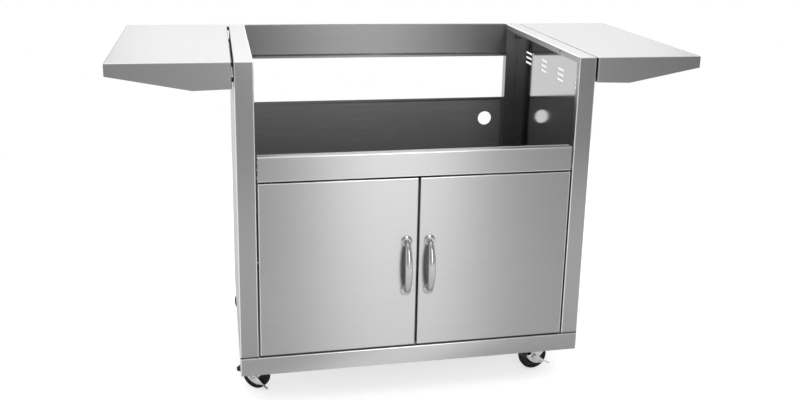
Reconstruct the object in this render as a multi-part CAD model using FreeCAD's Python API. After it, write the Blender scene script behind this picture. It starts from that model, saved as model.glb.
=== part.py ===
import FreeCAD, Part
import math
import os

# A wheeled stainless grill cart: an open bay on top for a drop-in grill, a two-door cabinet below it,
# and a fixed side shelf at each end. Millimetres, +Z up, front faces -Y, the origin is on the floor
# under the centre of the whole cart.

V = FreeCAD.Vector
X, Y, Z = V(1, 0, 0), V(0, 1, 0), V(0, 0, 1)

# Cabinet body
body_width = 862.0
body_depth = 600.0
top_height = 853.0
sheet = 1.2
fold_radius = 2.2
fit_gap = 0.1

# How far cutters run past the metal, and how far fused pieces run into each other
past = 1.0
sink = 0.5

# Side panels, whose folded flanges are the corner posts and the ledges beside the grill
post_width = 43.5
post_lip = 15.0
rear_lip = 28.0
ledge_lip = 15.0
foot_flange = 25.0
post_seam = 1.5
vent_length = 50.0
vent_height = 6.0
vent_columns = 4
vent_rows = 3
vent_pitch = 128.0
vent_row_pitch = 14.3
vent_centre = -6.0
vent_drop = 87.0
lip_hole_radius = 3.0
lip_hole_setback = 134.0
lip_hole_drop = 6.8

# Base tray and the two beams that carry the casters
tray_bottom = 80.0
tray_height = 45.0
tray_hem = 12.0
beam_web = 66.0
beam_flange = 14.0
beam_sheet = 1.5
beam_fold = 2.5

# Front rail above the doors
rail_top = 630.0
rail_height = 60.0
rail_top_flange = 26.0
rail_bottom_flange = 42.0
rail_hem = 6.0
rail_end_gap = 4.4
bracket_sheet = 2.0
bracket_fold = 2.5
bracket_drop = 42.0
bracket_reach = 24.0
bracket_depth = 10.0
bracket_setback = 4.0

# Rear rail and back panel
rear_rail_height = 92.0
rear_rail_flange = 28.0
rear_rail_hem = 5.0
rear_rail_setback = 12.0
rear_rail_lap = 20.0
rear_tab_drop = 12.0
back_panel_top = 626.0
back_panel_hem = 9.0
back_panel_margin = 8.0
gas_hole_radius = 21.0
gas_hole_inset = 94.5
gas_hole_height = 480.0

# Doors, hung on pins at their outer top and bottom corners
door_depth = 18.0
door_post_gap = 4.4
door_centre_gap = 4.7
door_top_gap = 4.0
door_bottom_gap = 5.0
door_edge_radius = 1.6
pivot_inset = 9.0
pin_radius = 3.0
pin_reach = 8.0
pin_head_radius = 5.0
pin_head = 2.0
running_clearance = 0.05
moving_clearance = 0.3
bush_radius = 5.0
bush_length = 11.0
bush_flange_radius = 7.0
bush_flange = 1.0
strike_width = 30.0
strike_height = 16.0
strike_thickness = 1.5
strike_centre = 26.0
catch_width = 93.0
catch_depth = 18.0
catch_height = 15.0
catch_tongue = 13.0
catch_tongue_height = 2.6
catch_corner = 1.5
strike_corner = 2.0
strike_drop = 2.0

# Bow handles
handle_offset = 28.5
handle_pitch = 127.5
handle_height = 342.7
handle_reach = 35.0
handle_end_width = 12.0
handle_mid_width = 18.6
handle_end_thickness = 10.5
handle_mid_thickness = 12.0
handle_sections = 13
rosette_radius = 14.0
rosette_rim = 1.6
rosette_step = 2.8
rosette_shoulder = 12.4
rosette_height = 4.0
rosette_land = 9.0
handle_screw_radius = 2.0
handle_screw_depth = 10.0

# Side shelves
shelf_length = 272.0
shelf_gap = 5.0
shelf_radius = 3.2
apron_inner = 62.0
apron_kink = 64.5
apron_kink_reach = 86.0
apron_outer = 29.0
spacer_radius = 5.5
spacer_setback = 20.0
spacer_drops = (8.5, 44.0)
bolt_radius = 2.5
bolt_head_radius = 4.6
bolt_head = 3.2
nut_radius = 4.5
nut_height = 4.0

# Screws of the body
screw_radius = 1.75
screw_head_radius = 3.6
screw_head = 2.2
screw_length = 5.0
bracket_screw_drops = (14.0, 32.0)
rear_tab_screw_drops = (22.0, 70.0)
rear_tab_screw_inset = 5.4
back_screws_a_side = 4
back_screw_margin = 20.0
foot_screws_a_side = 3
foot_screw_margin = 60.0
foot_screw_inset = 15.0
catch_screw_pitch = 56.0
catch_screw_inset = 12.0

# Casters
swivel_setback = 64.0
swivel_inset = 71.0
caster_height = 105.0
caster_trail = 30.0
wheel_radius = 37.0
wheel_width = 21.0
tyre_thickness = 11.0
tyre_shoulder = 4.5
shoulder_steps = 3
tyre_bead = 1.5
hub_boss_radius = 10.0
hub_side_gap = 0.4
hub_web = 5.0
hub_rim = 3.5
hub_draft = 1.5
axle_radius = 4.0
axle_sleeve_radius = 6.0
axle_head_radius = 7.2
axle_head = 5.0
axle_end = 2.0
fork_sheet = 2.3
fork_fold = 3.6
fork_crown = 28.0
fork_eye = 12.5
fork_gap = 24.0
crown_underside = 82.0
race_radius = 24.5
race_wall = 2.0
race_height = 9.0
drum_radius = 21.5
drum_wall = 4.0
plate_length = 80.0
plate_width = 60.0
plate_thickness = 2.5
plate_corner = 6.0
plate_hole_pitch_x = 42.0
plate_hole_pitch_y = 62.0
plate_bolt_radius = 3.0
plate_bolt_head_radius = 5.5
plate_bolt_head = 4.0
kingpin_radius = 5.0
kingpin_head_radius = 8.5
kingpin_head = 2.6
kingpin_collar_radius = 8.0
kingpin_collar = 3.0
bolt_end = 3.0

# Brake lever, in the plane of the wheel from the axle: its upper and lower edges and the folded tongue
lever_sheet = 2.2
lever_upper = ((-30.0, 21.0), (-13.0, 7.5), (0.0, 9.5), (10.0, 2.5), (24.0, -9.5), (45.0, -22.5))
lever_lower = (
    (45.0, -25.0), (28.0, -17.5), (14.0, -19.5), (0.0, -17.0), (-12.0, -10.0), (-22.0, 2.0), (-33.0, 14.0),
)
tongue_edge = ((33.0, -17.0), (44.4, -23.0), (44.4, -24.5), (33.0, -19.0))
tongue_width = 11.0
pedal_outer = -40.8
pedal_inner = -25.8
pedal_bottom = 9.0
pedal_top = 21.0
pedal_width = 14.0
pedal_corner = 3.0
pedal_bevel = 1.2

# Swivel angle of each caster as it stands, and whether it has a brake
casters = {
    "front_left": (-1, -1, -37.5, True),
    "front_right": (1, -1, 5.0, True),
    "rear_left": (-1, 1, 0.0, False),
    "rear_right": (1, 1, 0.0, False),
}

# Places worked out from the sizes above, with the handles and the back panel's screws as the whole depth
handle_front = handle_reach + handle_mid_thickness / 2
back_proud = sheet + screw_head
front = (handle_front - body_depth - back_proud) / 2
rear = front + body_depth
middle_y = (front + rear) / 2
half_width = body_width / 2
gas_hole_x = half_width - gas_hole_inset
swivel_x = half_width - swivel_setback
post_inner = half_width - post_width
tray_top = tray_bottom + tray_height
rail_bottom = rail_top - rail_height
rail_end = post_inner - rail_end_gap
door_outer = post_inner - door_post_gap
door_inner = door_centre_gap / 2
door_top = rail_bottom - door_top_gap
door_bottom = tray_top + door_bottom_gap
door_back = front + door_depth
pivot_x = door_outer - pivot_inset
pivot_y = front + pivot_inset
shelf_inner = half_width + shelf_gap
shelf_outer = shelf_inner + shelf_length
rear_web = rear - rear_rail_setback
rear_rail_bottom = top_height - rear_rail_height
plate_bottom = caster_height - plate_thickness
crown_top = crown_underside + fork_sheet
leg_outer = fork_gap / 2 + fork_sheet


def unit(v):
    return v * (1.0 / v.Length)


def box(x0, x1, y0, y1, z0, z1):
    """A block between two corners given in any order."""
    low = V(min(x0, x1), min(y0, y1), min(z0, z1))
    return Part.makeBox(abs(x1 - x0), abs(y1 - y0), abs(z1 - z0), low)


def rod(start, end, radius):
    """A round bar between two points."""
    return Part.makeCylinder(radius, (end - start).Length, start, end - start)


def union(shapes):
    """One clean solid from overlapping shapes."""
    shapes = list(shapes)
    if len(shapes) == 1:
        return shapes[0]
    return shapes[0].multiFuse(shapes[1:]).removeSplitter()


def group(shapes):
    """Separate solids of one node, such as a set of screws."""
    return Part.makeCompound(list(shapes))


def mirrored(shape):
    """The same piece on the other side of the cart."""
    return shape.mirror(V(0, 0, 0), X)


def write(name, shape):
    shape.exportStep(os.path.join("parts", name + ".step"))


def rounded_corner(corner, before, after, radius):
    """Start, middle and end of the arc that rounds a corner between two directions."""
    turn = math.acos(max(-1.0, min(1.0, before.dot(after))))
    reach = radius * math.tan(turn / 2)
    start = corner - before * reach
    end = corner + after * reach
    inward = unit(after - before)
    centre = corner + inward * (radius / math.cos(turn / 2))
    return start, centre - inward * radius, end


def skin(corners, radii):
    """Edges along a row of corners, each inner corner rounded."""
    edges = []
    here = corners[0]
    for i in range(1, len(corners) - 1):
        before = unit(corners[i] - corners[i - 1])
        after = unit(corners[i + 1] - corners[i])
        start, mid, end = rounded_corner(corners[i], before, after, radii[i])
        edges.append(Part.makeLine(here, start))
        edges.append(Part.Arc(start, mid, end).toShape())
        here = end
    edges.append(Part.makeLine(here, corners[-1]))
    return edges


def folded(corners, extent, thickness=sheet, radius=fold_radius, outside=False):
    """Sheet metal whose skin follows the corners, with its thickness inside its first fold, or outside it."""
    first = unit(corners[1] - corners[0])
    second = unit(corners[2] - corners[1])
    normal = unit(first.cross(second)) * (-1 if outside else 1)
    inner = []
    for i, corner in enumerate(corners):
        sides = []
        if i > 0:
            sides.append(normal.cross(unit(corner - corners[i - 1])))
        if i < len(corners) - 1:
            sides.append(normal.cross(unit(corners[i + 1] - corner)))
        step = sides[0] if len(sides) == 1 else (sides[0] + sides[1]) * (1 / (1 + sides[0].dot(sides[1])))
        inner.append(corner + step * thickness)
    outer_radii = []
    inner_radii = []
    for i in range(len(corners)):
        outer_radii.append(radius)
        inner_radii.append(radius - thickness)
        if 0 < i < len(corners) - 1:
            bend = (corners[i] - corners[i - 1]).cross(corners[i + 1] - corners[i])
            if bend.dot(normal) < 0:
                outer_radii[i] = radius - thickness
                inner_radii[i] = radius
    faces = skin(corners, outer_radii) + skin(inner, inner_radii)
    caps = [Part.makeLine(corners[0], inner[0]), Part.makeLine(corners[-1], inner[-1])]
    wire = Part.Wire(Part.__sortEdges__(faces + caps))
    return Part.Face(wire).extrude(extent)


def prism(points, extent):
    """A straight-sided block on an outline of points."""
    return Part.Face(Part.makePolygon(points + [points[0]])).extrude(extent)


def revolved(profile, base, axis, across):
    """A turned piece from (distance along the axis, radius) points."""
    points = [base + axis * along + across * out for along, out in profile]
    face = Part.Face(Part.makePolygon(points + [points[0]]))
    return face.revolve(base, axis, 360)


def fillet_where(shape, radius, wanted):
    """Round the straight edges that a test picks by their middle point and direction."""
    picked = []
    for edge in shape.Edges:
        start, end = edge.Vertexes[0].Point, edge.Vertexes[-1].Point
        if wanted((start + end) * 0.5, unit(end - start)):
            picked.append(edge)
    return shape.makeFillet(radius, picked)


def slot_cutter(x0, x1, y, z, length, height):
    """A cutter for a level slot with round ends through a wall that faces X."""
    r = height / 2
    reach = length / 2 - r
    ends = [rod(V(x0, y + s * reach, z), V(x1, y + s * reach, z), r) for s in (-1, 1)]
    return union([box(x0, x1, y - reach, y + reach, z - r, z + r)] + ends)


def screw(seat, direction, length, radius=screw_radius):
    """A pan-head screw whose head sits on the seat and whose shank runs along the direction."""
    head = rod(seat - direction * screw_head, seat, screw_head_radius)
    shank = rod(seat - direction * sink, seat + direction * length, radius)
    return union([head, shank])


def screw_hole(seat, direction, length=screw_length):
    """A clearance hole for a screw on that seat."""
    return rod(seat - direction * screw_head, seat + direction * (length + past), screw_radius + fit_gap)


def both_sides(places):
    """Places on the right-hand side and their mirror images on the left."""
    return list(places) + [V(-p.x, p.y, p.z) for p in places]


def spread(low, high, count):
    """Evenly spaced numbers from low to high."""
    step = (high - low) / (count - 1)
    return [low + step * i for i in range(count)]


# Places of the fasteners, shared by the holes and the screws

def shelf_bolt_places():
    """Depth and height of the shelf bolts on one side."""
    depths = (front + spacer_setback, rear - spacer_setback)
    return [(y, top_height - drop) for y in depths for drop in spacer_drops]


def bracket_screw_places():
    y = front + bracket_setback + bracket_depth / 2
    return [V(post_inner + sheet, y, rail_top - drop) for drop in bracket_screw_drops]


def rear_tab_screw_places():
    y = rear_web + rear_tab_screw_inset
    return [V(post_inner + sheet, y, top_height - drop) for drop in rear_tab_screw_drops]


def back_screw_places():
    x = post_inner + post_width / 2
    heights = spread(tray_top + back_screw_margin, back_panel_top - back_screw_margin, back_screws_a_side)
    return [V(x, rear + sheet, z) for z in heights]


def foot_screw_places():
    x = half_width - foot_screw_inset
    depths = spread(front + foot_screw_margin, rear - foot_screw_margin, foot_screws_a_side)
    return [V(x, y, tray_top + sheet) for y in depths]


def catch_screw_places():
    y = front + rail_bottom_flange - catch_screw_inset
    return [V(s * catch_screw_pitch / 2, y, rail_bottom - catch_height) for s in (-1, 1)]


def swivel_y(end):
    """Depth of the front (-1) or rear (1) swivel axes."""
    return front + swivel_inset if end < 0 else rear - swivel_inset


def plate_bolt_places(x, y):
    half_x, half_y = plate_hole_pitch_x / 2, plate_hole_pitch_y / 2
    return [V(x + sx * half_x, y + sy * half_y, plate_bottom) for sx in (-1, 1) for sy in (-1, 1)]


# Side panel: one sheet folded into outer wall, front and rear posts, top ledge and foot

def side_panel():
    low, high = tray_top, top_height
    wall = folded([
        V(post_inner, rear - rear_lip, low), V(post_inner, rear, low), V(half_width, rear, low),
        V(half_width, front, low), V(post_inner, front, low), V(post_inner, front + post_lip, low),
    ], Z * (high - low))
    ledge = folded([
        V(half_width, front, high - ledge_lip), V(half_width, front, high),
        V(post_inner, front, high), V(post_inner, front, high - ledge_lip),
    ], Y * body_depth)
    foot_x0, foot_x1 = half_width - foot_flange, half_width - sheet
    foot = box(foot_x0, foot_x1, front + post_lip, rear - post_lip, low, low + sheet)
    envelope = fillet_where(
        box(post_inner, half_width, front, rear, low, high), fold_radius,
        lambda p, d: p.x > half_width - 0.01 and (abs(d.z) > 0.9 or p.z > high - 0.01 and abs(d.y) > 0.9))
    body = union([union([wall, ledge]).common(envelope), foot])
    cutters = []
    for y, inward in ((front, 1), (rear, -1)):
        seam_end = y + inward * (rear_lip + past)
        cutters.append(box(post_inner - past, half_width + past, y - inward, seam_end, low, low + post_seam))
    vent_x0, vent_x1 = half_width - sheet - past, half_width + past
    for row in spread(-1.0, 1.0, vent_rows):
        z = high - vent_drop + row * vent_row_pitch * (vent_rows - 1) / 2
        for column in spread(-1.0, 1.0, vent_columns):
            y = middle_y + vent_centre + column * vent_pitch * (vent_columns - 1) / 2
            cutters.append(slot_cutter(vent_x0, vent_x1, y, z, vent_length, vent_height))
    for y, z in shelf_bolt_places():
        bolt_hole = V(half_width - sheet - past, y, z)
        cutters.append(rod(bolt_hole, bolt_hole + X * (sheet + 2 * past), bolt_radius + fit_gap))
    lip_hole = V(post_inner - past, front + lip_hole_setback, high - lip_hole_drop)
    cutters.append(rod(lip_hole, lip_hole + X * (sheet + 2 * past), lip_hole_radius))
    cutters += [screw_hole(p, -X) for p in bracket_screw_places() + rear_tab_screw_places()]
    cutters += [screw_hole(p, -Y) for p in back_screw_places()]
    cutters += [screw_hole(p, -Z) for p in foot_screw_places()]
    return body.cut(cutters)


# Base tray: an upturned pan with a hem round its open underside

def base_tray():
    outer = fillet_where(
        box(-half_width, half_width, front, rear, tray_bottom, tray_top), fold_radius,
        lambda p, d: abs(d.z) > 0.9 or p.z > tray_top - 0.01)
    x, y0, y1, top = half_width - sheet, front + sheet, rear - sheet, tray_top - sheet
    inner = fillet_where(
        box(-x, x, y0, y1, tray_bottom - past, top), fold_radius - sheet,
        lambda p, d: abs(d.z) > 0.9 or p.z > top - 0.01)
    hem = box(-x - sink, x + sink, y0 - sink, y1 + sink, tray_bottom, tray_bottom + sheet)
    x, y0, y1 = half_width - tray_hem, front + tray_hem, rear - tray_hem
    opening = box(-x, x, y0, y1, tray_bottom - past, tray_bottom + sheet + past)
    tray = union([outer.cut(inner), hem.cut(opening)])
    cutters = [screw_hole(p, -Z) for p in both_sides(foot_screw_places())]
    for x in (-pivot_x, pivot_x):
        pin_foot = V(x, pivot_y, tray_top - sheet - past)
        cutters.append(rod(pin_foot, pin_foot + Z * (sheet + 2 * past), pin_radius))
    return tray.cut(cutters)


def caster_beam():
    """Hat-section beam from front to rear under the tray floor, above the casters of one side."""
    low, ledge = caster_height, tray_top - sheet - beam_sheet
    half = beam_web / 2
    wide = half + beam_flange
    start = front + sheet + fold_radius
    length = body_depth - 2 * (sheet + fold_radius)
    body = folded([
        V(swivel_x - wide, start, ledge), V(swivel_x - half, start, ledge), V(swivel_x - half, start, low),
        V(swivel_x + half, start, low), V(swivel_x + half, start, ledge), V(swivel_x + wide, start, ledge),
    ], Y * length, beam_sheet, beam_fold, outside=True)
    through = Z * (plate_thickness + beam_sheet + past)
    places = plate_bolt_places(swivel_x, swivel_y(-1)) + plate_bolt_places(swivel_x, swivel_y(1))
    return body.cut([rod(p, p + through, plate_bolt_radius + fit_gap) for p in places])


# Rails, brackets and back panel

def front_rail():
    """Channel above the doors, with a hemmed top flange, flush with the posts."""
    x = -rail_end
    channel = folded([
        V(x, front + rail_top_flange, rail_top - rail_hem), V(x, front + rail_top_flange, rail_top),
        V(x, front, rail_top), V(x, front, rail_bottom), V(x, front + rail_bottom_flange, rail_bottom),
    ], X * (2 * rail_end))
    cutters = [screw_hole(p, Z, catch_height + screw_length) for p in catch_screw_places()]
    for side in (-pivot_x, pivot_x):
        pin_head_seat = V(side, pivot_y, rail_bottom - past)
        cutters.append(rod(pin_head_seat, pin_head_seat + Z * (sheet + 2 * past), pin_radius))
    return channel.cut(cutters)


def rail_bracket():
    """Angle under the rail's top flange, screwed to the lip of the post."""
    y = front + bracket_setback
    top = rail_top - sheet
    angle = folded([
        V(post_inner, y, top - bracket_drop), V(post_inner, y, top),
        V(post_inner - bracket_reach - rail_end_gap, y, top),
    ], Y * bracket_depth, bracket_sheet, bracket_fold)
    return angle.cut([screw_hole(p, -X) for p in bracket_screw_places()])


def rear_rail():
    """Z-shaped rail across the back at the top, with end tabs against the rear lips."""
    x = -post_inner
    length = 2 * post_inner
    shelf_z = rear_rail_bottom + rear_rail_hem
    web = folded([
        V(x, rear, top_height), V(x, rear_web, top_height), V(x, rear_web, shelf_z),
    ], X * length)
    flange = folded([
        V(x, rear_web + sheet, shelf_z + rear_rail_lap), V(x, rear_web + sheet, shelf_z),
        V(x, rear_web - rear_rail_flange, shelf_z), V(x, rear_web - rear_rail_flange, rear_rail_bottom),
    ], X * length)
    tab_z0, tab_z1 = rear_rail_bottom + rear_tab_drop, top_height - sink
    tab = box(post_inner - sheet, post_inner, rear_web + sink, rear, tab_z0, tab_z1)
    rail = union([web, flange, tab, mirrored(tab)])
    cutters = [screw_hole(p, -X) for p in rear_tab_screw_places()]
    return rail.cut(cutters + [mirrored(c) for c in cutters])


def back_panel():
    """Sheet behind the rear posts from the tray up to the window, with a hem and the gas-line hole."""
    half = half_width - back_panel_margin
    hem_half = post_inner - fit_gap
    hem_low = back_panel_top - back_panel_hem
    panel = box(-half, half, rear, rear + sheet, tray_top + post_seam, back_panel_top)
    hem = box(-hem_half, hem_half, rear - sheet, rear + sink, hem_low, back_panel_top)
    panel = fillet_where(
        union([panel, hem]), sheet * 0.45,
        lambda p, d: p.z > back_panel_top - 0.01 and abs(d.x) > 0.9 and p.y < rear)
    hole = V(gas_hole_x, rear - past, tray_bottom + gas_hole_height)
    cutters = [rod(hole, hole + Y * (sheet + 2 * past), gas_hole_radius)]
    cutters += [screw_hole(p, -Y) for p in both_sides(back_screw_places())]
    return panel.cut(cutters)


# Door hardware that stays on the body

def door_catch():
    """Twin magnetic catch under the rail, behind the meeting edges of the doors."""
    x = catch_width / 2
    y0 = door_back + strike_thickness + moving_clearance
    housing = box(-x, x, y0, y0 + catch_depth, rail_bottom - catch_height, rail_bottom)
    housing = fillet_where(housing, catch_corner, lambda p, d: abs(d.z) > 0.9 and p.y > y0 + 1)
    tongue = box(-x, x, y0 - catch_tongue, y0 + sink, rail_bottom - catch_tongue_height, rail_bottom)
    holes = [screw_hole(p, Z, catch_height + screw_length) for p in catch_screw_places()]
    return union([housing, tongue]).cut(holes)


def pivot_pins(x):
    """Top and bottom pivot pins of one door."""
    def pin(z0, z1, radius):
        return rod(V(x, pivot_y, z0), V(x, pivot_y, z1), radius)

    seat = rail_bottom + sheet
    shoulder = door_bottom - bush_flange - moving_clearance
    top = [pin(door_top - pin_reach, seat + sink, pin_radius), pin(seat, seat + pin_head, pin_head_radius)]
    bottom = [
        pin(tray_top - sheet, door_bottom + pin_reach, pin_radius),
        pin(tray_top, shoulder, pin_head_radius),
    ]
    return [union(top), union(bottom)]


# Right-hand door; the left one is its mirror image

def handle_ends():
    """The lower and upper end of the handle, on the door's face."""
    return [V(handle_offset, front, handle_height + s * handle_pitch / 2) for s in (-1, 1)]


def door_skin():
    """Pan with four returns."""
    outer = fillet_where(
        box(door_inner, door_outer, front, door_back, door_bottom, door_top), door_edge_radius,
        lambda p, d: p.y < front + 0.01 or abs(d.y) > 0.9)
    x0, x1, z0, z1 = door_inner + sheet, door_outer - sheet, door_bottom + sheet, door_top - sheet
    hollow = box(x0, x1, front + sheet, door_back + past, z0, z1)
    cutters = []
    for z in (door_bottom, door_top):
        corner = V(pivot_x, pivot_y, z)
        cutters.append(rod(corner - Z * (sheet + past), corner + Z * (sheet + past), bush_radius))
    for p in handle_ends():
        cutters.append(rod(p - Y * past, p + Y * (sheet + past), handle_screw_radius + fit_gap))
    return outer.cut([hollow] + cutters)


def door_liner():
    """Inner sheet that closes the back of the door."""
    inset = sheet + fit_gap
    x0, x1, z0, z1 = door_inner + inset, door_outer - inset, door_bottom + inset, door_top - inset
    liner = box(x0, x1, door_back - sheet, door_back, z0, z1)
    holes = []
    for p in handle_ends():
        back = p + Y * door_depth
        holes.append(rod(back - Y * (sheet + past), back + Y * past, handle_screw_radius + fit_gap))
    return liner.cut(holes)


def door_bushes():
    """Flanged plastic bushes that turn on the pivot pins."""
    pieces = []
    for z, outward in ((door_bottom, -1), (door_top, 1)):
        seat = V(pivot_x, pivot_y, z)
        axis = Z * outward
        body = union([
            rod(seat - axis * bush_length, seat + axis * bush_flange, bush_radius),
            rod(seat, seat + axis * bush_flange, bush_flange_radius),
        ])
        bore_start, bore_end = seat - axis * (pin_reach + past), seat + axis * (bush_flange + past)
        pieces.append(body.cut(rod(bore_start, bore_end, pin_radius + running_clearance)))
    return pieces


def door_strike():
    """Steel plate that meets the magnet."""
    x0, x1 = strike_centre - strike_width / 2, strike_centre + strike_width / 2
    top = door_top - strike_drop
    plate = box(x0, x1, door_back, door_back + strike_thickness, top - strike_height, top)
    return fillet_where(plate, strike_corner, lambda p, d: abs(d.y) > 0.9)


def handle_section(angle):
    """Oval across the bow at an angle from the lower end (0) to the upper end (180)."""
    a = math.radians(angle)
    swell = math.sin(a)
    width = handle_end_width + (handle_mid_width - handle_end_width) * swell
    thick = handle_end_thickness + (handle_mid_thickness - handle_end_thickness) * swell
    rise = handle_reach - rosette_height
    y = front - rosette_height - rise * math.sin(a)
    z = handle_height - handle_pitch / 2 * math.cos(a)
    along = unit(V(0, -rise * math.cos(a), handle_pitch / 2 * math.sin(a)))
    depth = along.cross(X)
    oval = Part.Ellipse(V(0, 0, 0), width / 2, thick / 2).toShape()
    matrix = FreeCAD.Matrix(
        1, depth.x, along.x, handle_offset,
        0, depth.y, along.y, y,
        0, depth.z, along.z, z,
        0, 0, 0, 1)
    return Part.Wire(oval.transformGeometry(matrix))


def handle():
    """Bow pull that swells towards its middle."""
    sections = [handle_section(a) for a in spread(0.0, 180.0, handle_sections)]
    bow = Part.makeLoft(sections, True, True)
    seats = [p - Y * rosette_height for p in handle_ends()]
    return bow.cut([rod(p + Y * past, p - Y * handle_screw_depth, handle_screw_radius) for p in seats])


def rosettes():
    """Stepped rings between the handle and the door."""
    profile = [
        (0, handle_screw_radius + fit_gap), (0, rosette_radius), (rosette_rim, rosette_radius),
        (rosette_step, rosette_shoulder), (rosette_height, rosette_land),
        (rosette_height, handle_screw_radius + fit_gap),
    ]
    return [revolved(profile, p, -Y, X) for p in handle_ends()]


def handle_screws():
    """Screws from inside the door into the ends of the handle."""
    length = door_depth + rosette_height + handle_screw_depth - past
    return [screw(p + Y * door_depth, -Y, length, handle_screw_radius) for p in handle_ends()]


# Right-hand shelf: a pan with deep aprons that taper towards its outer end

def apron_outline(y, inset):
    """Side view of the shelf, drawn in by an inset at its ends and top and run past its open underside."""
    slope = (apron_kink - apron_outer) / (shelf_length - apron_kink_reach)
    below = top_height - 2 * inset
    return [
        V(shelf_inner + inset, y, top_height - inset), V(shelf_outer - inset, y, top_height - inset),
        V(shelf_outer - inset, y, below - apron_outer - inset * slope),
        V(shelf_inner + apron_kink_reach, y, below - apron_kink),
        V(shelf_inner + inset, y, below - apron_inner),
    ]


def shelf():
    outer = fillet_where(
        prism(apron_outline(front, 0.0), Y * body_depth), shelf_radius,
        lambda p, d: p.z > top_height - 0.01 or abs(d.z) > 0.999)
    inner = fillet_where(
        prism(apron_outline(front + sheet, sheet), Y * (body_depth - 2 * sheet)), shelf_radius - sheet,
        lambda p, d: p.z > top_height - sheet - 0.01 or abs(d.z) > 0.999)
    holes = []
    for y, z in shelf_bolt_places():
        hole = V(shelf_inner - past, y, z)
        holes.append(rod(hole, hole + X * (sheet + 2 * past), bolt_radius + fit_gap))
    return outer.cut([inner] + holes)


def shelf_spacer(y, z):
    """Black washer-like spacer between the body and the shelf."""
    disc = rod(V(half_width, y, z), V(shelf_inner, y, z), spacer_radius)
    return disc.cut(rod(V(half_width - past, y, z), V(shelf_inner + past, y, z), bolt_radius + fit_gap))


def hexagon(centre, axis, across, radius, height):
    """A hexagonal head or nut that starts at the centre and grows along the axis."""
    side = axis.cross(across)
    points = []
    for i in range(6):
        a = math.radians(60 * i)
        points.append(centre + across * (radius * math.cos(a)) + side * (radius * math.sin(a)))
    return prism(points, axis * height)


def shelf_bolt(y, z):
    """Bolt from inside the shelf through the spacer and the side wall, with its nut."""
    seat = V(shelf_inner + sheet, y, z)
    far = V(half_width - sheet, y, z)
    return union([
        hexagon(seat, X, Y, bolt_head_radius, bolt_head),
        rod(seat + X * sink, far - X * (nut_height + past), bolt_radius),
        hexagon(far, -X, Y, nut_radius, nut_height),
    ])


# Casters, built with the swivel axis through the origin and the wheel trailing towards -X

def caster_plate():
    half_x, half_y = plate_width / 2, plate_length / 2
    plate = fillet_where(box(-half_x, half_x, -half_y, half_y, plate_bottom, caster_height), plate_corner,
                         lambda p, d: abs(d.z) > 0.9)
    low = crown_top + race_wall + moving_clearance
    drum = rod(V(0, 0, low), V(0, 0, plate_bottom + sink), drum_radius)
    hollow = rod(V(0, 0, low - past), V(0, 0, plate_bottom), drum_radius - drum_wall)
    cutters = [rod(V(0, 0, low), V(0, 0, caster_height + past), kingpin_radius)]
    for p in plate_bolt_places(0, 0):
        cutters.append(rod(p - Z * past, p + Z * (plate_thickness + past), plate_bolt_radius + fit_gap))
    return union([plate, drum.cut(hollow)]).cut(cutters)


def kingpin():
    """Rivet that holds the fork under the plate."""
    head_top = crown_underside - moving_clearance
    shaft = rod(V(0, 0, head_top - sink), V(0, 0, caster_height), kingpin_radius)
    head = rod(V(0, 0, head_top - kingpin_head), V(0, 0, head_top), kingpin_head_radius)
    collar = rod(V(0, 0, plate_bottom - kingpin_collar), V(0, 0, plate_bottom), kingpin_collar_radius)
    return union([shaft, head, collar])


def axle_place():
    return V(-caster_trail, 0, wheel_radius)


def fork():
    """Stamped fork folded over the wheel, with the lower race of the swivel on its crown."""
    c = axle_place()
    x0, x1 = c.x - fork_eye - past, fork_crown + past
    legs = folded([
        V(x0, -leg_outer, 0), V(x0, -leg_outer, crown_top), V(x0, leg_outer, crown_top), V(x0, leg_outer, 0),
    ], X * (x1 - x0), fork_sheet, fork_fold)
    half = leg_outer + past
    eye = rod(c - Y * half, c + Y * half, fork_eye)
    blade = [V(-fork_crown, -half, crown_top), V(fork_crown, -half, crown_top)]
    for corner, turn in ((blade[1], 1), (blade[0], -1)):
        reach = V(corner.x - c.x, 0, corner.z - c.z)
        lean = math.atan2(reach.z, reach.x) - turn * math.acos(fork_eye / reach.Length)
        blade.append(V(c.x + fork_eye * math.cos(lean), -half, c.z + fork_eye * math.sin(lean)))
    legs = legs.common(union([prism(blade, Y * (2 * half)), eye]))
    race_top = crown_top + race_height
    cup = rod(V(0, 0, crown_top - sink), V(0, 0, race_top), race_radius)
    bowl = rod(V(0, 0, crown_top + race_wall), V(0, 0, race_top + past), race_radius - race_wall)
    holes = [
        rod(V(0, 0, crown_underside - past), V(0, 0, race_top), kingpin_radius + running_clearance),
        rod(c - Y * half, c + Y * half, axle_radius + running_clearance),
    ]
    return union([legs, cup.cut(bowl)]).cut(holes)


def axle(braked):
    """Bolt, wheel sleeve and nut across the fork, with room for the brake lever under its head."""
    c = axle_place()
    head_face = leg_outer
    if braked:
        head_face += lever_sheet + 2 * moving_clearance
    near = c - Y * head_face
    far = c + Y * leg_outer
    return union([
        rod(near - Y * sink, far + Y * (axle_head + axle_end), axle_radius),
        rod(c - Y * (fork_gap / 2), c + Y * (fork_gap / 2), axle_sleeve_radius),
        hexagon(near, -Y, X, axle_head_radius, axle_head),
        hexagon(far, Y, X, axle_head_radius, axle_head),
    ])


def wheel_hub():
    """Moulded hub: boss, thin web and flanged rim."""
    boss = fork_gap / 2 - hub_side_gap
    edge = wheel_width / 2 - tyre_bead
    web = hub_web / 2
    rim = wheel_radius - tyre_thickness
    bore = axle_sleeve_radius + running_clearance
    half = [
        (boss, bore), (boss, hub_boss_radius), (web, hub_boss_radius + hub_draft),
        (web, rim - hub_rim - hub_draft), (edge, rim - hub_rim), (edge, rim),
    ]
    profile = [(-along, out) for along, out in half] + half[::-1]
    return revolved(profile, axle_place(), Y, Z)


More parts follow.
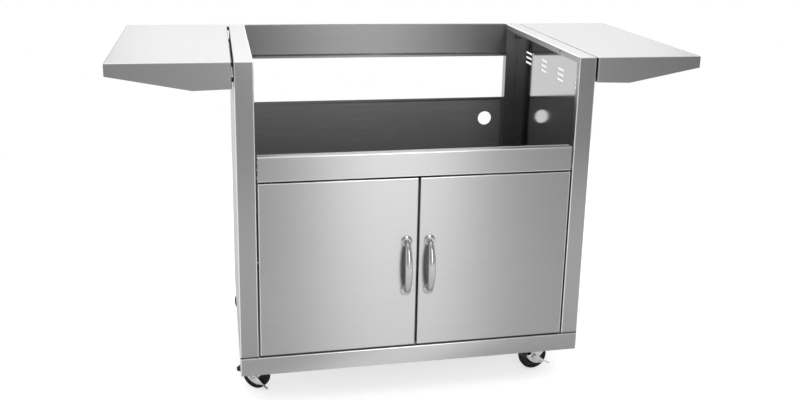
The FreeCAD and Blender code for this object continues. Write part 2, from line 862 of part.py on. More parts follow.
def tyre():
    """Tyre with rounded shoulders and a thin bead at the rim."""
    rim = wheel_radius - tyre_thickness
    half = wheel_width / 2
    side = [(half - tyre_bead, rim), (half, rim + tyre_bead)]
    for angle in spread(0.0, math.pi / 2, shoulder_steps + 1):
        along = half - tyre_shoulder * (1 - math.cos(angle))
        side.append((along, wheel_radius - tyre_shoulder * (1 - math.sin(angle))))
    profile = [(-along, out) for along, out in side] + side[::-1]
    return revolved(profile, axle_place(), Y, Z)


def lever_outline(c):
    """Rocker that hangs like a crescent round the axle, its pedal arm high and its release tongue low."""
    upper, lower = ([c + V(x, 0, z) for x, z in edge] for edge in (lever_upper, lever_lower))
    top = Part.BSplineCurve()
    top.interpolate(upper)
    low = Part.BSplineCurve()
    low.interpolate(lower)
    tip, heel = Part.makeLine(upper[-1], lower[0]), Part.makeLine(lower[-1], upper[0])
    return Part.Face(Part.Wire([top.toShape(), tip, low.toShape(), heel]))


def brake_lever():
    c = axle_place()
    face = c - Y * (leg_outer + moving_clearance)
    plate = lever_outline(face).extrude(-Y * lever_sheet)
    root = face - Y * (lever_sheet / 2)
    tongue = prism([root + V(x, 0, z) for x, z in tongue_edge], -Y * tongue_width)
    bore = rod(face + Y * past, face - Y * (lever_sheet + past), axle_radius + running_clearance)
    return union([plate, tongue]).cut(bore)


def brake_pedal():
    """Moulded cap over the raised end of the lever."""
    c = axle_place() - Y * (leg_outer + moving_clearance)
    inner = c.y + past
    outer = inner - pedal_width
    block = box(c.x + pedal_outer, c.x + pedal_inner, inner, outer, c.z + pedal_bottom, c.z + pedal_top)
    block = fillet_where(block, pedal_corner, lambda p, d: abs(d.y) > 0.9)
    rim = [e for e in block.Edges if abs(e.CenterOfMass.y - outer) < 0.01]
    return block.makeChamfer(pedal_bevel, rim).cut(lever_outline(c).extrude(-Y * lever_sheet))


def caster_bolt(place):
    return union([
        hexagon(place, -Z, X, plate_bolt_head_radius, plate_bolt_head),
        rod(place - Z * sink, place + Z * (plate_thickness + beam_sheet + bolt_end), plate_bolt_radius),
    ])


def stand(shape, name):
    """Turn a caster piece to its swivel angle and put it under its corner."""
    side, end, angle, _ = casters[name]
    shape = shape.copy()
    shape.rotate(V(0, 0, 0), Z, angle)
    shape.translate(V(side * swivel_x, swivel_y(end), 0))
    return shape


def build():
    os.makedirs("parts", exist_ok=True)

    write("base_tray", base_tray())
    beam = caster_beam()
    write("right_caster_beam", beam)
    write("left_caster_beam", mirrored(beam))

    panel = side_panel()
    write("right_side_panel", panel)
    write("left_side_panel", mirrored(panel))

    write("front_rail", front_rail())
    bracket = rail_bracket()
    write("front_rail_brackets", group([bracket, mirrored(bracket)]))
    write("rear_rail", rear_rail())
    write("back_panel", back_panel())
    write("door_catch", door_catch())
    write("door_pivot_pins", group(pivot_pins(pivot_x) + pivot_pins(-pivot_x)))

    tray = shelf()
    write("right_shelf", tray)
    write("left_shelf", mirrored(tray))
    spacers = [shelf_spacer(y, z) for y, z in shelf_bolt_places()]
    write("shelf_spacers", group(spacers + [mirrored(s) for s in spacers]))
    bolts = [shelf_bolt(y, z) for y, z in shelf_bolt_places()]
    write("shelf_bolts", group(bolts + [mirrored(b) for b in bolts]))

    right_screws = [screw(p, -X, screw_length) for p in bracket_screw_places() + rear_tab_screw_places()]
    right_screws += [screw(p, -Y, screw_length) for p in back_screw_places()]
    right_screws += [screw(p, -Z, screw_length) for p in foot_screw_places()]
    left_screws = [mirrored(s) for s in right_screws]
    catch_screws = [screw(p, Z, catch_height + screw_length) for p in catch_screw_places()]
    write("body_screws", group(right_screws + left_screws + catch_screws))

    door_pieces = {
        "door_skin": door_skin(),
        "door_liner": door_liner(),
        "door_bushes": group(door_bushes()),
        "door_strike": door_strike(),
        "handle": handle(),
        "handle_rosettes": group(rosettes()),
        "handle_screws": group(handle_screws()),
    }
    for name, piece in door_pieces.items():
        write("right_" + name, piece)
        write("left_" + name, mirrored(piece))

    plate = caster_plate()
    pins = []
    bolts = []
    for name, (side, end, angle, braked) in casters.items():
        corner = V(side * swivel_x, swivel_y(end), 0)
        plate_here = plate.copy()
        plate_here.translate(corner)
        write(name + "_caster_plate", plate_here)
        pins.append(stand(kingpin(), name))
        bolts += [caster_bolt(p) for p in plate_bolt_places(corner.x, corner.y)]
        write(name + "_fork", stand(fork(), name))
        write(name + "_axle", stand(axle(braked), name))
        write(name + "_hub", stand(wheel_hub(), name))
        write(name + "_tyre", stand(tyre(), name))
        if braked:
            write(name + "_brake_lever", stand(brake_lever(), name))
            write(name + "_brake_pedal", stand(brake_pedal(), name))
    write("caster_kingpins", group(pins))
    write("caster_bolts", group(bolts))


build()
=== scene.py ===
import math

import bmesh
import bpy
from mathutils import Matrix, Vector


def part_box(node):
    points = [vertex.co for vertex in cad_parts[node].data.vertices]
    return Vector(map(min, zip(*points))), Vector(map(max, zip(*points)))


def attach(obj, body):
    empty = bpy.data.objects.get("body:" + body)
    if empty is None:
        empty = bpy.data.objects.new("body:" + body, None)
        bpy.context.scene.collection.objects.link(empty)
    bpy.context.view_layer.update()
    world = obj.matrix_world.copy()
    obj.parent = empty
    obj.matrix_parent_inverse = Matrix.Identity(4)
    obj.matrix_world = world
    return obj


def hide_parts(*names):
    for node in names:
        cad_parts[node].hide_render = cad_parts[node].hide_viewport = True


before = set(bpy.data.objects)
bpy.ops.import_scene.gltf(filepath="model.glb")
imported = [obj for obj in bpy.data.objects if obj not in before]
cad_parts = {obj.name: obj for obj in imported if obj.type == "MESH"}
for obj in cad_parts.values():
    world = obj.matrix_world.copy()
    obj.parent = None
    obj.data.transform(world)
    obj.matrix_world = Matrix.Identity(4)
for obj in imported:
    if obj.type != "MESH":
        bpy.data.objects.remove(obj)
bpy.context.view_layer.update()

scene = bpy.context.scene

# Camera, at the photograph's height and angle: a little left of the cart and looking down at it.
# Its lens and its small shift are given in the pixels of the photograph, which is 800 of them wide.
camera_place = (-0.4687, -2.3295, 1.2209)
camera_yaw, camera_pitch, camera_roll = 12.73, 14.19, 1.52
photo_width = 800
focal_pixels = 918.2
middle_right, middle_up = 18.8, 72.2

camera_data = bpy.data.cameras.new("Camera")
camera_data.sensor_width = 36.0
camera_data.lens = camera_data.sensor_width * focal_pixels / photo_width
camera_data.shift_x = -middle_right / photo_width
camera_data.shift_y = -middle_up / photo_width
camera_data.clip_end = 100.0
camera = bpy.data.objects.new("Camera", camera_data)
scene.collection.objects.link(camera)
camera.matrix_world = (
    Matrix.Translation(camera_place)
    @ Matrix.Rotation(math.radians(-camera_yaw), 4, "Z")
    @ Matrix.Rotation(math.radians(90 - camera_pitch), 4, "X")
    @ Matrix.Rotation(math.radians(camera_roll), 4, "Z")
)
scene.camera = camera

# Base tray: a shallow pan turned upside down, one pressed and welded sheet of brushed stainless steel.
# Its sides shine along a level grain, its floor shines evenly, and a hem goes round its open underside.
level_brushing = {"grain": "X", "tone": 0.48, "roughness": 0.4, "anisotropy": 0.97, "turn": 0.25}
# fold_highlight_grey is the pale grey of the painted highlight along folds.
fold_core, fold_rim, fold_highlight_grey = 0.0016, 0.0028, 0.85
# shade_fade and painted_gap_shade set the fade width and the darkening of painted shade in seams.
shade_fade, painted_gap_shade = 0.0004, 0.35
sheet_crease, solid_crease = 12, 35
weld_distance = 1e-6
tray_low, tray_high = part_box("base_tray")
tray_folds = (
    (("Y", tray_low.y), ("Z", tray_high.z)),
    (("X", tray_high.x), ("Z", tray_high.z)),
    (("X", tray_high.x), ("Y", tray_low.y)),
)


class Signal:
    """A shader socket that sums and products are written on."""

    def __init__(self, paint, socket):
        self.paint, self.socket = paint, socket

    def math(self, operation, first, second):
        return self.paint.add("ShaderNodeMath", {"operation": operation}, {0: first, 1: second})

    def __add__(self, other):
        return self.math("ADD", self, other)

    def __sub__(self, other):
        return self.math("SUBTRACT", self, other)

    def __rsub__(self, other):
        return self.math("SUBTRACT", other, self)

    def __mul__(self, other):
        return self.math("MULTIPLY", self, other)

    def __abs__(self):
        return self.math("ABSOLUTE", self, 0.0)

    __radd__, __rmul__ = __add__, __mul__

    def between(self, start, end):
        """0 at one level, 1 at the other, and a smooth change between them."""
        inputs = {"Value": self, "From Min": start, "From Max": end}
        return self.paint.add("ShaderNodeMapRange", {"interpolation_type": "SMOOTHSTEP"}, inputs)


class Paint:
    """The nodes of one finish."""

    def __init__(self, name):
        self.material = bpy.data.materials.new(name)
        self.material.use_nodes = True
        self.tree = self.material.node_tree
        self.surface = self.tree.nodes["Principled BSDF"]
        self.place = self.add("ShaderNodeTexCoord", output="Object")

    def add(self, kind, settings=None, inputs=None, output=0):
        """Adds a node, sets it up, fills or joins its sockets and gives back one of its outputs."""
        node = self.tree.nodes.new(kind)
        for name, value in (settings or {}).items():
            setattr(node, name, value)
        for socket, value in (inputs or {}).items():
            self.join(value, node.inputs[socket])
        return Signal(self, node.outputs[output])

    def join(self, value, socket):
        if isinstance(value, Signal):
            self.tree.links.new(value.socket, socket)
        else:
            socket.default_value = value

    def part(self, vector, axis):
        return self.add("ShaderNodeSeparateXYZ", inputs={"Vector": vector}, output=axis)

    def fold(self, *faces):
        """1 along the outside of the fold where two faces meet, each given as an axis and its place there.
        X is the distance from the cart's middle."""
        near = 1.0
        for axis, place in faces:
            there = self.part(self.place, axis)
            gap = abs(there) - place if axis == "X" else there - place
            near = abs(gap).between(fold_rim, fold_core) * near
        return near

    def noise(self, counts, detail=2.0, roughness=0.5):
        """Noise with so many grains per metre: one count, or one each along X, Y and Z."""
        counts = counts if isinstance(counts, tuple) else (counts, counts, counts)
        place = self.add("ShaderNodeMapping", inputs={"Vector": self.place, "Scale": counts})
        inputs = {"Vector": place, "Scale": 1.0, "Detail": detail, "Roughness": roughness}
        return self.add("ShaderNodeTexNoise", inputs=inputs)

    def blend(self, factor, first, second):
        inputs = {0: factor, 6: first, 7: second}
        return self.add("ShaderNodeMix", {"data_type": "RGBA"}, inputs, output=2)

    def relief(self, height, strength, distance):
        return self.add("ShaderNodeBump", inputs={"Height": height, "Strength": strength, "Distance": distance})

    def finish(self, **sockets):
        """Sets the surface's sockets, each named with underscores for spaces."""
        for name, value in sockets.items():
            self.join(value, self.surface.inputs[name.replace("_", " ")])
        return self.material


def grey(level, warmth=0.0):
    return (level * (1 + warmth), level, level * (1 - warmth), 1.0)


def along(axis, lengthwise, crosswise):
    """Noise counts for a grain that runs along one axis."""
    return tuple(lengthwise if name == axis else crosswise for name in "XYZ")


def brushing(paint, grain):
    """The hair lines, streaks and clouds of a brushed sheet, and the shade that they make together."""
    hair = paint.noise(along(grain, 9.0, 1500.0), 2.0)
    streak = paint.noise(along(grain, 4.0, 420.0), 3.0)
    cloud = paint.noise(3.0, 2.0)
    shade = (hair * 0.4 + streak * 0.3 + cloud * 0.3).between(0.25, 0.75)
    return hair, streak, cloud, shade


def brushed_steel(name, grain, tone, roughness, anisotropy=0.0, turn=0.0, folds=(), shaded_seam=0.0):
    """Brushed sheet, with a painted highlight along its folds and painted shade within a seam's width of the
    cart's middle.
    """
    paint = Paint(name)
    hair, streak, cloud, shade = brushing(paint, grain)
    colour = paint.blend(shade, grey(tone * 0.94), grey(tone * 1.06, 0.004))
    painted_highlight_folds = sum(paint.fold(*faces) for faces in folds)
    # Painted highlight: along the folds the colour is blended towards a pale grey.
    if folds:
        colour = paint.blend(painted_highlight_folds, colour, grey(fold_highlight_grey))
    # Painted shade: near the cart's middle the colour darkens, standing for the shade in the gap between the
    # doors.
    if shaded_seam:
        from_middle = abs(paint.part(paint.place, "X"))
        colour = paint.blend(from_middle.between(shaded_seam, shaded_seam + shade_fade), grey(tone * painted_gap_shade), colour)
    return paint.finish(
        Base_Color=colour,
        Metallic=1.0,
        Roughness=hair * 0.05 + cloud * 0.05 + (roughness - 0.05) - painted_highlight_folds * 0.1,
        Anisotropic=anisotropy,
        Anisotropic_Rotation=turn,
        Normal=paint.relief(hair * 0.8 + streak * 0.2, 0.04, 0.0003),
    )


def copied(node):
    """A CAD node's mesh, with its loose triangles joined."""
    shape = bmesh.new()
    shape.from_mesh(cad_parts[node].data)
    bmesh.ops.remove_doubles(shape, verts=shape.verts, dist=weld_distance)
    return shape


def solid_piece(name, shape, materials, body, node, crease=solid_crease):
    """Turns a mesh in the making into a finished piece that rides on a body in place of a CAD node."""
    mesh = bpy.data.meshes.new(name)
    for face in shape.faces:
        face.smooth = True
    shape.to_mesh(mesh)
    shape.free()
    mesh.set_sharp_from_angle(angle=math.radians(crease))
    for material in materials:
        mesh.materials.append(material)
    piece = bpy.data.objects.new(name, mesh)
    scene.collection.objects.link(piece)
    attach(piece, body)
    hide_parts(node)


tray_steel = brushed_steel("tray_grain_steel", folds=tray_folds, **level_brushing)
tray_floor_steel = brushed_steel("tray_floor_steel", "X", tone=0.48, roughness=0.34, folds=tray_folds)
shape = copied("base_tray")
for face in shape.faces:
    face.material_index = int(abs(face.normal.z) > 0.5)
solid_piece("brushed_tray", shape, (tray_steel, tray_floor_steel), "cart", "base_tray",
            crease=sheet_crease)

# Caster beams: two hat sections of zinc-plated steel, spot-welded under the tray floor.
# The same bright, spangled plating is on the casters' plates, forks and bolts.


def dress(material, *nodes):
    """Gives CAD nodes a finish."""
    for name in nodes:
        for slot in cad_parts[name].material_slots:
            slot.material = material


def zinc_plate(name, tone, roughness):
    paint = Paint(name)
    spangle = paint.noise(160.0, 1.0)
    cloud = paint.noise(14.0, 3.0)
    shade = (spangle * 0.5 + cloud * 0.5).between(0.35, 0.65)
    return paint.finish(
        Base_Color=paint.blend(shade, grey(tone * 0.88), grey(tone * 1.08, 0.01)),
        Metallic=1.0,
        Roughness=cloud * 0.16 + (roughness - 0.08),
        Normal=paint.relief(spangle, 0.08, 0.0004),
    )


plated_steel = zinc_plate("zinc_plated_steel", tone=0.76, roughness=0.32)
dress(plated_steel, "left_caster_beam", "right_caster_beam")

# Casters: stamped and plated forks that turn under riveted plates, with solid black wheels.
# The two front ones have a rocking brake lever, stamped and plated too, with a moulded pedal.
# A lever's copy is cut off inside its pedal, and its stamped edges are rounded.
corners = ("front_left", "front_right", "rear_left", "rear_right")
brake_turn = {"front_left": -37.5, "front_right": 5.0}
lever_reach = 0.0199
lever_rounding = 0.0004
flat_angle, edge_angle = 1, 50


def bright_fastener(name):
    paint = Paint(name)
    turned = paint.noise(900.0, 1.0)
    cloud = paint.noise(60.0, 2.0)
    return paint.finish(
        Base_Color=paint.blend(cloud.between(0.35, 0.65), grey(0.5), grey(0.66, 0.01)),
        Metallic=1.0,
        Roughness=turned * 0.1 + 0.16,
        Normal=paint.relief(turned, 0.05, 0.0001),
    )


def black_moulding(name, tone, roughness, gloss=0.4):
    paint = Paint(name)
    grain = paint.noise(2200.0, 1.0)
    cloud = paint.noise(50.0, 2.0)
    return paint.finish(
        Base_Color=paint.blend(cloud.between(0.35, 0.65), grey(tone * 0.75), grey(tone * 1.3)),
        Roughness=grain * 0.12 + cloud * 0.1 + (roughness - 0.11),
        Specular_IOR_Level=gloss,
        Normal=paint.relief(grain, 0.12, 0.0001),
    )


def stamped_lever(node, end, outward):
    """A copy of a lever's mesh, cut off square at its end, with its sharp edges rounded."""
    shape = copied(node)
    everything = shape.verts[:] + shape.edges[:] + shape.faces[:]
    bmesh.ops.bisect_plane(shape, geom=everything, plane_co=end, plane_no=outward, clear_outer=True)
    bmesh.ops.holes_fill(shape, edges=[e for e in shape.edges if e.is_boundary], sides=0)
    bmesh.ops.dissolve_limit(shape, angle_limit=math.radians(flat_angle), verts=shape.verts, edges=shape.edges)
    sharp = [e for e in shape.edges if e.is_manifold and e.calc_face_angle() > math.radians(edge_angle)]
    bmesh.ops.bevel(shape, geom=sharp, offset=lever_rounding, offset_type="OFFSET", affect="EDGES", segments=2,
                    profile=0.5, clamp_overlap=True, material=-1)
    return shape


fastener_steel = bright_fastener("bright_fastener_steel")
black_plastic = black_moulding("black_plastic", tone=0.014, roughness=0.42)
tyre_rubber = black_moulding("tyre_rubber", tone=0.008, roughness=0.6, gloss=0.25)
dress(plated_steel, "caster_kingpins", "caster_bolts")
for corner in corners:
    dress(plated_steel, corner + "_caster_plate", corner + "_fork")
    dress(fastener_steel, corner + "_axle")
    dress(black_plastic, corner + "_hub")
    dress(tyre_rubber, corner + "_tyre")
for corner, angle in brake_turn.items():
    lever = corner + "_brake_lever"
    turn = math.radians(angle)
    outward = Vector((math.sin(turn), -math.cos(turn), 0))
    plate_low, plate_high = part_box(corner + "_caster_plate")
    swivel = (plate_low + plate_high) / 2
    shape = stamped_lever(lever, swivel + outward * lever_reach, outward)
    solid_piece(corner + "_stamped_lever", shape, (plated_steel,), corner + "_brake", lever)
    dress(black_plastic, corner + "_brake_pedal")

# Side panels: each one sheet, folded into outer wall, corner posts, ledge and foot, its grain upright.
# The brushed face is outside, the wall's inside keeps the mill's brighter finish, and the ledge's lip is rougher
# and carries painted light.
# The folds carry painted highlights, painted shadow darkens the seam where the foot meets the tray, and painted
# shade rings the hole in the lip.
panel_low, panel_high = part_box("right_side_panel")
wall_inside, wall_outside = 0.4123, 0.4183
panel_fold_highlight_grey = 0.92
lip_foot, lip_fade = panel_high.z - 0.017, 0.001
lip_hole = (panel_low.y + 0.134, panel_high.z - 0.0068)
hole_radius, hole_shade_radius = 0.0032, 0.0034
foot_shade_top = tray_high.z + 0.0042
skirt_depth, skirt_fade = 0.002, 0.001
panel_folds = (
    (("X", panel_low.x), ("Y", panel_low.y)),
    (("X", panel_high.x), ("Y", panel_low.y)),
    (("X", panel_low.x), ("Z", panel_high.z)),
    (("Y", panel_low.y), ("Z", panel_high.z)),
)


def folded_panel(name, tone, roughness, inner_tone, inner_roughness, folds):
    paint = Paint(name)
    hair, streak, cloud, shade = brushing(paint, "Z")
    side, depth, height = (paint.part(paint.place, axis) for axis in "XYZ")
    facing = paint.part(paint.add("ShaderNodeNewGeometry", output="True Normal"), "X")

    wall = abs(side).between(wall_inside, wall_outside)
    inward = (facing * side * -1.0).between(0.1, 0.2)
    inside = inward * wall
    painted_lighter_lip = inward * (1.0 - wall) * height.between(lip_foot, lip_foot + lip_fade)
    past_y, past_z = depth - lip_hole[0], height - lip_hole[1]
    # Painted shade: a near-black ring round the lip's hole, standing for the shade inside it.
    hole_shade = (past_y * past_y + past_z * past_z).between(hole_shade_radius ** 2, hole_radius ** 2) * (1.0 - wall)
    skirt_side, skirt_front = panel_high.x - skirt_depth, panel_low.y + skirt_depth
    skirt = abs(side).between(skirt_side - skirt_fade, skirt_side)
    skirt = skirt + depth.between(skirt_front + skirt_fade, skirt_front) * (1.0 - skirt)
    # Painted shadow: the foot's outside is darkened just above the tray, where shade falls in the joint.
    shaded_seam = height.between(foot_shade_top + shade_fade, foot_shade_top) * skirt

    outer = paint.blend(shade, grey(tone * 0.95), grey(tone * 1.05, 0.004))
    # Painted highlight: along the folds the colour is blended towards a pale grey.
    outer = paint.blend(sum(paint.fold(*faces) for faces in folds), outer, grey(panel_fold_highlight_grey))
    # Painted light: the lip's colour is raised to 1.7 times the tone; its extra roughness is real.
    outer = paint.blend(painted_lighter_lip, outer, grey(tone * 1.7))
    outer = paint.blend(hole_shade, outer, grey(0.01))
    outer = paint.blend(shaded_seam, outer, grey(tone * 0.12))
    inner = paint.blend(shade, grey(inner_tone * 0.96), grey(inner_tone * 1.04))
    outer_roughness = hair * 0.06 + cloud * 0.05 + (roughness - 0.055) + painted_lighter_lip * 0.15
    inner_roughness = cloud * 0.05 + (inner_roughness - 0.025)
    return paint.finish(
        Base_Color=paint.blend(inside, outer, inner),
        Metallic=1.0,
        Roughness=outer_roughness + inside * (inner_roughness - outer_roughness),
        Normal=paint.relief(hair * 0.8 + streak * 0.2, 0.03, 0.0003),
    )


upright_steel = folded_panel("upright_grain_steel", tone=0.36, roughness=0.3, inner_tone=0.5, inner_roughness=0.09,
                             folds=panel_folds)
dress(upright_steel, "left_side_panel", "right_side_panel")

# Front rail: a channel folded from brushed stainless sheet, with the same level grain as the doors below it.
# It stands on two dull grey angle brackets.
rail_low, rail_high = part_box("front_rail")
rail_folds = (
    (("Y", rail_low.y), ("Z", rail_high.z)),
    (("Y", rail_low.y), ("Z", rail_low.z)),
)
rail_steel = brushed_steel("rail_grain_steel", folds=rail_folds, **level_brushing)
dull_steel = zinc_plate("dull_bracket_steel", tone=0.1, roughness=0.5)
dress(rail_steel, "front_rail")
dress(dull_steel, "front_rail_brackets")

# Rear rail and back panel, of the same sheet: the rail brushed along a level grain, the panel with its mill
# finish, smeared and lightly scratched.
# They are seen only from inside and behind, and the panel's copy reaches down to the tray.
back_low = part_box("back_panel")[0]
back_gap, foot_edge_height = 0.0002, 0.0001


def mill_sheet(name, tone, roughness):
    paint = Paint(name)
    roll = paint.noise(along("X", 3.0, 500.0), 2.0)
    cloud = paint.noise(5.0, 3.0)
    smear = paint.noise((12.0, 12.0, 130.0), 4.0, 0.7).between(0.5, 0.72) * cloud.between(0.4, 0.6)
    scratch = paint.noise((14.0, 60.0, 520.0), 3.0).between(0.66, 0.74) * cloud.between(0.45, 0.65)
    colour = paint.blend((roll * 0.6 + cloud * 0.4).between(0.3, 0.7), grey(tone * 0.94), grey(tone * 1.06))
    colour = paint.blend(smear * 0.35, colour, grey(tone * 1.4))
    return paint.finish(
        Base_Color=paint.blend(scratch * 0.4, colour, grey(tone * 1.6)),
        Metallic=1.0,
        Roughness=cloud * 0.1 + (roughness - 0.05) - scratch * 0.1,
        Normal=paint.relief(roll * 0.8 + scratch * 0.2, 0.05, 0.0003),
    )


mill_steel = mill_sheet("mill_finish_steel", tone=0.37, roughness=0.6)
shape = copied("back_panel")
foot_edge = [v for v in shape.verts if v.co.z < back_low.z + foot_edge_height]
bmesh.ops.translate(shape, vec=(0, 0, tray_high.z + back_gap - back_low.z), verts=foot_edge)
solid_piece("mill_back_panel", shape, (mill_steel,), "cart", "back_panel", crease=sheet_crease)
rear_rail_steel = brushed_steel("rear_rail_steel", "X", tone=0.32, roughness=0.44, anisotropy=0.9, turn=0.25)
dress(rear_rail_steel, "rear_rail")

# Doors: an outer pan with level grain, closed by an inner sheet, on flanged nylon bushes and dull steel pins.
# Two strikes meet a black twin magnet under the rail.
sides = ("left", "right")
door_shaded_seam = 0.0026
door_low, door_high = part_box("right_door_skin")
door_folds = (
    (("X", door_high.x), ("Y", door_low.y)),
    (("Y", door_low.y), ("Z", door_high.z)),
)
nylon = black_moulding("black_nylon", tone=0.025, roughness=0.5)
# The door pans get painted shade on their returns at the gap between the doors, and painted highlights along their
# folds.
door_steel = brushed_steel("door_grain_steel", folds=door_folds, shaded_seam=door_shaded_seam, **level_brushing)
for side in sides:
    dress(door_steel, side + "_door_skin")
    dress(mill_steel, side + "_door_liner")
    dress(nylon, side + "_door_bushes")
    dress(plated_steel, side + "_door_strike")
dress(dull_steel, "door_pivot_pins")
dress(black_plastic, "door_catch")

# Bow handles: cast stainless bars, oval in section and broadest at mid height, rubbed to a satin shine.
# Each foot stands on a stepped rosette of the same steel and is held by a screw.
bow_end = (0.0095, 0.0095)
bow_middle = (0.0186, 0.012)
bow_sides, bow_steps = 32, 48
screw_bore = 0.0023
rosette_radius, rosette_height = 0.014, 0.004
rosette_outline = (
    (screw_bore, 0.0),
    (rosette_radius, 0.0),
    (rosette_radius, 0.0013),
    (0.0131, 0.0021),
    (0.0121, 0.0024),
    (0.0112, 0.0028),
    (0.009, rosette_height),
    (screw_bore, rosette_height),
)
rosette_sides, rosette_crease = 64, 25


def satin_steel(name):
    paint = Paint(name)
    hair = paint.noise(along("X", 60.0, 900.0), 2.0)
    cloud = paint.noise(40.0, 2.0)
    return paint.finish(
        Base_Color=paint.blend((hair * 0.5 + cloud * 0.5).between(0.3, 0.7), grey(0.5), grey(0.62, 0.006)),
        Metallic=1.0,
        Roughness=hair * 0.08 + cloud * 0.08 + 0.16,
        Normal=paint.relief(hair, 0.03, 0.0001),
    )


def bow_section(middle, rise, half_pitch, turn):
    """Where the bow's oval section stands at a turn from its lower foot, 0, to its upper foot, pi."""
    swell = math.sin(turn)
    width, depth = (end + (full - end) * swell for end, full in zip(bow_end, bow_middle))
    across = Vector((1, 0, 0))
    ahead = Vector((0, -rise * math.cos(turn), half_pitch * math.sin(turn))).normalized()
    place = middle + Vector((0, -rise * math.sin(turn), -half_pitch * math.cos(turn)))
    turned = Matrix((across, ahead.cross(across), ahead)).transposed().to_4x4()
    return Matrix.Translation(place) @ turned @ Matrix.Diagonal((width, depth, 1.0, 1.0))


handle_steel = satin_steel("satin_handle_steel")
for side in sides:
    low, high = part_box(side + "_handle")
    rosette_low, rosette_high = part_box(side + "_handle_rosettes")
    door_face = rosette_high.y
    middle_x = (low.x + high.x) / 2
    middle_z = (low.z + high.z) / 2
    half_pitch = (rosette_high.z - rosette_low.z) / 2 - rosette_radius
    foot = Vector((middle_x, door_face - rosette_height, middle_z))
    rise = foot.y - low.y - bow_middle[1] / 2

    shape = bmesh.new()
    ring = bmesh.ops.create_circle(shape, segments=bow_sides, radius=0.5)["verts"]
    before = bow_section(foot, rise, half_pitch, 0.0)
    bmesh.ops.transform(shape, matrix=before, verts=ring)
    edges = shape.edges[:]
    for step in range(1, bow_steps + 1):
        grown = bmesh.ops.extrude_edge_only(shape, edges=edges)["geom"]
        here = bow_section(foot, rise, half_pitch, math.pi * step / bow_steps)
        ring = [v for v in grown if isinstance(v, bmesh.types.BMVert)]
        edges = [e for e in grown if isinstance(e, bmesh.types.BMEdge)]
        bmesh.ops.transform(shape, matrix=here @ before.inverted(), verts=ring)
        before = here
    bmesh.ops.holes_fill(shape, edges=[e for e in shape.edges if e.is_boundary], sides=0)
    bmesh.ops.recalc_face_normals(shape, faces=shape.faces)
    solid_piece(side + "_bow_handle", shape, (handle_steel,), side + "_door", side + "_handle")

    shape = bmesh.new()
    for end in (-1, 1):
        seat = Vector((middle_x, door_face, middle_z + end * half_pitch))
        points = [shape.verts.new(seat + Vector((radius, -height, 0))) for radius, height in rosette_outline]
        outline = [shape.edges.new(pair) for pair in zip(points, points[1:])]
        bmesh.ops.spin(shape, geom=points + outline, cent=seat, axis=(0, 1, 0), angle=2 * math.pi,
                       steps=rosette_sides, use_merge=True)
    bmesh.ops.remove_doubles(shape, verts=shape.verts, dist=weld_distance)
    bmesh.ops.recalc_face_normals(shape, faces=shape.faces)
    solid_piece(side + "_rosettes", shape, (handle_steel,), side + "_door", side + "_handle_rosettes",
                crease=rosette_crease)
    dress(fastener_steel, side + "_handle_screws")

# Side shelves: one-piece pans of brushed sheet whose aprons taper outwards, their grain from front to back.
# Black spacers hold them a finger's width off the body.
shelf_low, shelf_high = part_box("right_shelf")
shelf_folds = ((("Y", shelf_low.y), ("Z", shelf_high.z)),)
shelf_steel = brushed_steel("shelf_grain_steel", "Y", tone=0.37, roughness=0.36, folds=shelf_folds)
dress(shelf_steel, "left_shelf", "right_shelf")
dress(black_plastic, "shelf_spacers")
dress(fastener_steel, "shelf_bolts", "body_screws")

# Floor and studio: a pale floor that keeps the cart's shadow, a white backdrop behind, a greyer room in
# front, a wide soft bank overhead at the back and a tall soft strip in front.
floor_reach = 2.0
seen_glow, mirrored_glow = 0.6, 0.22
white = (1, 1, 1, 1)


def lamp(name, place, target, width, height, radiance):
    """A soft rectangular lamp, unseen by the camera, of that brightness as mirrored in the cart."""
    data = bpy.data.lights.new(name, "AREA")
    data.shape = "RECTANGLE"
    data.size, data.size_y = width, height
    data.energy = radiance * width * height * math.pi
    piece = bpy.data.objects.new(name, data)
    scene.collection.objects.link(piece)
    aim = (Vector(target) - Vector(place)).to_track_quat("-Z", "Y")
    piece.matrix_world = Matrix.Translation(place) @ aim.to_matrix().to_4x4()
    piece.visible_camera = False


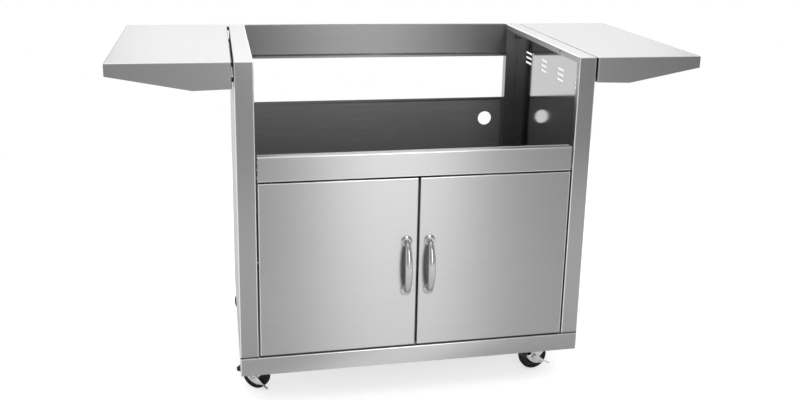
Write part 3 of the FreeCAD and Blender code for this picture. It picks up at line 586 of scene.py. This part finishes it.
lamp("overhead_bank", place=(0.9, 4.2, 2.9), target=(0.3, 0.0, 0.8), width=4.6, height=2.2, radiance=1.6)
lamp("front_strip", place=(0.6, -3.6, 1.5), target=(0.0, 0.0, 0.4), width=0.9, height=3.0, radiance=3.7)

floor_mesh = bpy.data.meshes.new("floor")
shape = bmesh.new()
bmesh.ops.create_grid(shape, x_segments=1, y_segments=1, size=floor_reach)
shape.to_mesh(floor_mesh)
shape.free()
floor = bpy.data.objects.new("floor", floor_mesh)
scene.collection.objects.link(floor)

floor_paint = Paint("pale_floor")
floor_paint.finish(Base_Color=grey(0.78), Roughness=0.9, Specular_IOR_Level=0.1)
seen = floor_paint.add("ShaderNodeLightPath", output="Is Camera Ray")
mirrored = floor_paint.add("ShaderNodeLightPath", output="Is Glossy Ray")
brightness = seen * seen_glow + mirrored * mirrored_glow
glow = floor_paint.add("ShaderNodeEmission", inputs={"Color": white, "Strength": brightness})
lit = Signal(floor_paint, floor_paint.surface.outputs[0])
glowing = floor_paint.add("ShaderNodeAddShader", inputs={0: lit, 1: glow})
floor_paint.join(glowing, floor_paint.tree.nodes["Material Output"].inputs["Surface"])
floor_mesh.materials.append(floor_paint.material)

world = bpy.data.worlds.new("studio")
scene.world = world
world.use_nodes = True


class Sky(Paint):
    """The world's nodes."""

    def __init__(self, tree):
        self.tree = tree


sky = Sky(world.node_tree)
direction = sky.add("ShaderNodeTexCoord", output="Generated")
sideways, backwards, upwards = (sky.part(direction, axis) for axis in "XYZ")
behind = backwards.between(-0.5, 0.5)
right = sideways.between(0.1, 0.6)
flank = (sideways * sideways).between(0.5, 0.95)
above = upwards.between(0.75, 0.95)
room = 0.44 - 0.2 * right + 0.6 * behind + 0.4 * flank + 0.5 * above
camera_ray = sky.add("ShaderNodeLightPath", output="Is Camera Ray")
backdrop = sky.tree.nodes["Background"]
sky.join(white, backdrop.inputs["Color"])
sky.join(room + camera_ray * (1.0 - room), backdrop.inputs["Strength"])

scene.view_settings.view_transform = "Standard"
